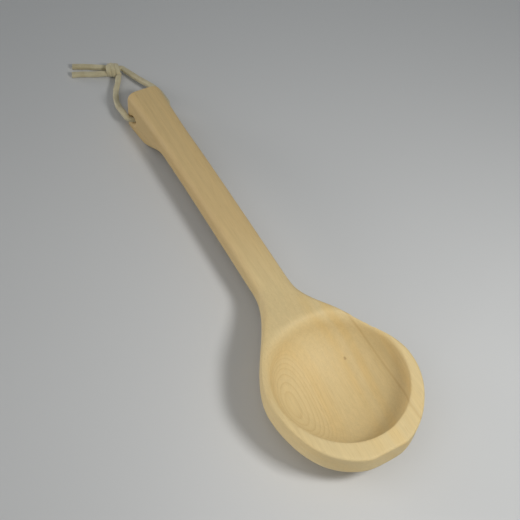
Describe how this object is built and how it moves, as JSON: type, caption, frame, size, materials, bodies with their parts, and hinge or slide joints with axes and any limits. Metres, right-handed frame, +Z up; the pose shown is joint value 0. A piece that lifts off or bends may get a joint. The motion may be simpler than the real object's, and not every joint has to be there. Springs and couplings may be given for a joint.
{
  "type": "sauna ladle",
  "caption": "Carved wooden ladle with a round bowl, a straight square-section handle ending in a deep heel, and a leather hanging lace tied in a knot.",
  "frame": {"origin": "on the surface the ladle stands on, under the middle of the carved wood's length and width; the lace isn't counted", "axes": "+X along the ladle from the handle's end to the tip of the bowl, +Y to the left of someone looking along +X, +Z up, out of the bowl's mouth"},
  "size_m": [0.436, 0.1014, 0.039],
  "materials": {
    "carved_wood": "plain pale softwood, sanded smooth and left without lacquer",
    "lace_leather": "undyed natural leather, matt"
  },
  "bodies": {
    "ladle": {"ladle_body": "carved_wood"},
    "lace": {"lace_loop": "lace_leather", "lace_knot": "lace_leather", "lace_tail_left": "lace_leather", "lace_tail_right": "lace_leather"}
  },
  "joints": [
    {"name": "lace_swing", "type": "hinge", "parent": "ladle", "child": "lace", "pos_m": [-0.1655, 0, 0.011], "axis": [0, 1, 0], "range_deg": [-150, 150]}
  ]
}
